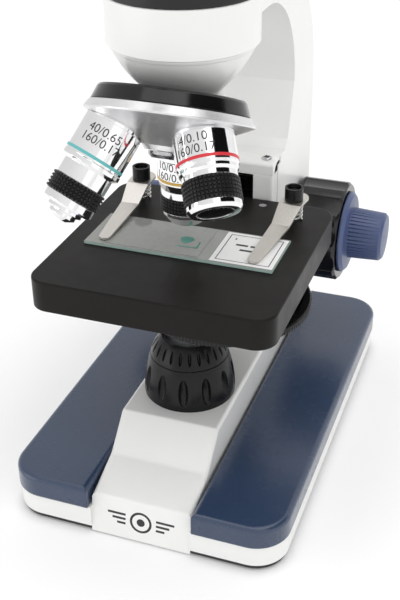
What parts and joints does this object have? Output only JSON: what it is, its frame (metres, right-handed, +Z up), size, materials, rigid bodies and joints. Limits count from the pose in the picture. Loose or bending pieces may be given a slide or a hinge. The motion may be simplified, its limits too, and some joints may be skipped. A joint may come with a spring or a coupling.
{
  "type": "compound microscope",
  "caption": "Upright student microscope with C-shaped arm, tilted revolving nosepiece, focusing stage with spring clips, aperture disc and lamp in a broad two-tone base.",
  "frame": {"origin": "point on the table directly under the optical axis", "axes": "+X to the viewer's right with the label side of the base in front, -Y to the front, +Z up along the optical axis"},
  "size_m": [0.124, 0.191, 0.3063],
  "materials": {
    "white_paint": "gloss",
    "navy_gloss": "gloss",
    "blue_knob": "satin",
    "black_sheet": "satin",
    "black_rubber": "matte",
    "steel": "brushed",
    "brass": "satin",
    "spring_steel": "brushed",
    "satin_black": "satin",
    "gloss_black": "gloss",
    "black_plastic": "satin",
    "black_knurl": "matte",
    "chrome": "polished",
    "tube_black": "satin",
    "glass": "polished",
    "frosted_glass": "frosted",
    "circuit_board": "satin"
  },
  "bodies": {
    "stand": {"base_housing": "white_paint", "base_plate": "black_sheet", "side_panel_left": "navy_gloss", "side_panel_right": "navy_gloss", "rubber_feet": "black_rubber", "frame_screws": "steel", "arm": "white_paint", "column_cover": "white_paint", "focus_bushings": "brass", "nosepiece_bowl": "white_paint", "nosepiece_plate": "gloss_black", "nosepiece_pivot": "steel", "click_spring": "spring_steel", "led_board": "circuit_board", "driver_board": "circuit_board", "dc_jack": "black_plastic", "lamp_housing": "black_plastic", "head_collar": "gloss_black", "head_set_screw": "steel"},
    "lamp_cap": {"lamp_ring": "black_plastic", "field_lens": "frosted_glass"},
    "dimmer": {"brightness_dial": "black_plastic"},
    "head": {"head_body": "gloss_black", "head_prism": "glass", "head_tube": "tube_black"},
    "eyepiece": {"eyepiece": "tube_black", "eye_lens": "glass"},
    "nosepiece": {"turret": "chrome", "objective_10x": "chrome", "objective_10x_grip": "black_knurl", "objective_10x_lens": "glass", "objective_4x": "chrome", "objective_4x_grip": "black_knurl", "objective_4x_lens": "glass", "objective_40x": "chrome", "objective_40x_grip": "black_knurl"},
    "sprung_nose": {"objective_40x_nose": "chrome"},
    "coarse_focus": {"coarse_knob_left": "gloss_black", "coarse_knob_right": "gloss_black", "focus_sleeve": "steel", "focus_pinion": "brass"},
    "fine_focus": {"fine_knob_left": "blue_knob", "fine_knob_right": "blue_knob", "fine_shaft": "steel"},
    "carriage": {"focus_carriage": "satin_black", "focus_rack": "steel"},
    "stage": {"stage_plate": "satin_black", "stage_screws": "steel", "stage_bracket": "satin_black", "condenser_mount": "satin_black", "condenser_lens": "glass", "clip_caps": "black_plastic", "clip_screws": "steel"},
    "diaphragm": {"diaphragm_disc": "black_plastic"},
    "clip_swivel_left": {"clip_spring_left": "spring_steel"},
    "clip_strip_left": {"clip_left": "spring_steel"},
    "clip_swivel_right": {"clip_spring_right": "spring_steel"},
    "clip_strip_right": {"clip_right": "spring_steel"},
    "specimen": {"specimen_slide": "glass", "cover_slip": "glass"}
  },
  "joints": [
    {"name": "head_turn", "type": "hinge", "parent": "stand", "child": "head", "pos_m": [0, 0, 0.205], "axis": [0, 0, 1], "continuous": true},
    {"name": "eyepiece_lift", "type": "slide", "parent": "head", "child": "eyepiece", "axis": [0, -0.7071, 0.7071], "range_m": [0, 0.028]},
    {"name": "lamp_cap_turn", "type": "hinge", "parent": "stand", "child": "lamp_cap", "pos_m": [0, 0, 0.055], "axis": [0, 0, 1], "continuous": true},
    {"name": "brightness_turn", "type": "hinge", "parent": "stand", "child": "dimmer", "pos_m": [-0.0208, 0.046, 0.0292], "axis": [-1, 0, 0], "range_deg": [0, 270]},
    {"name": "nosepiece_turn", "type": "hinge", "parent": "stand", "child": "nosepiece", "pos_m": [0, 0, 0.1939], "axis": [0, -0.4099, -0.9121], "continuous": true},
    {"name": "nose_retract", "type": "slide", "parent": "nosepiece", "child": "sprung_nose", "axis": [0.355, 0.5608, 0.7479], "range_m": [0, 0.002], "stiffness_N_per_m": 400, "springref_m": -0.002},
    {"name": "coarse_turn", "type": "hinge", "parent": "stand", "child": "coarse_focus", "pos_m": [0, 0.092, 0.072], "axis": [1, 0, 0], "range_deg": [-41.4, 107.6]},
    {"name": "carriage_slide", "type": "slide", "parent": "stand", "child": "carriage", "axis": [0, 0, 1], "range_m": [-0.012, 0.0046]},
    {"name": "fine_turn", "type": "hinge", "parent": "coarse_focus", "child": "fine_focus", "pos_m": [0, 0.092, 0.072], "axis": [1, 0, 0], "range_deg": [-1440.6, 1440.6]},
    {"name": "stage_fine_slide", "type": "slide", "parent": "carriage", "child": "stage", "axis": [0, 0, 1], "range_m": [-0.0008, 0.0008]},
    {"name": "diaphragm_turn", "type": "hinge", "parent": "stage", "child": "diaphragm", "pos_m": [0.0155, 0, 0.082], "axis": [0, 0, 1], "continuous": true},
    {"name": "clip_left_swivel", "type": "hinge", "parent": "stage", "child": "clip_swivel_left", "pos_m": [-0.033, 0.034, 0.11], "axis": [0, 0, 1], "range_deg": [-95, 40]},
    {"name": "clip_left_lift", "type": "hinge", "parent": "clip_swivel_left", "child": "clip_strip_left", "pos_m": [-0.03285, 0.02976, 0.111], "axis": [-0.9994, -0.0349, 0], "range_deg": [0, 8], "stiffness_Nm_per_rad": 0.12, "springref_deg": -11.46, "deforming": ["clip_spring_left"]},
    {"name": "clip_right_swivel", "type": "hinge", "parent": "stage", "child": "clip_swivel_right", "pos_m": [0.033, 0.034, 0.11], "axis": [0, 0, 1], "range_deg": [-40, 95]},
    {"name": "clip_right_lift", "type": "hinge", "parent": "clip_swivel_right", "child": "clip_strip_right", "pos_m": [0.03259, 0.02977, 0.111], "axis": [-0.9954, 0.0958, 0], "range_deg": [0, 8], "stiffness_Nm_per_rad": 0.12, "springref_deg": -11.46, "deforming": ["clip_spring_right"]},
    {"name": "specimen_slide_x", "type": "slide", "parent": "stage", "child": "specimen", "axis": [1, 0, 0], "range_m": [-0.012, 0.012]}
  ],
  "couplings": [
    {"joint": "coarse_turn", "follows": "carriage_slide", "rad_per_m": -156.25},
    {"joint": "fine_turn", "follows": "stage_fine_slide", "rad_per_m": -31416}
  ]
}
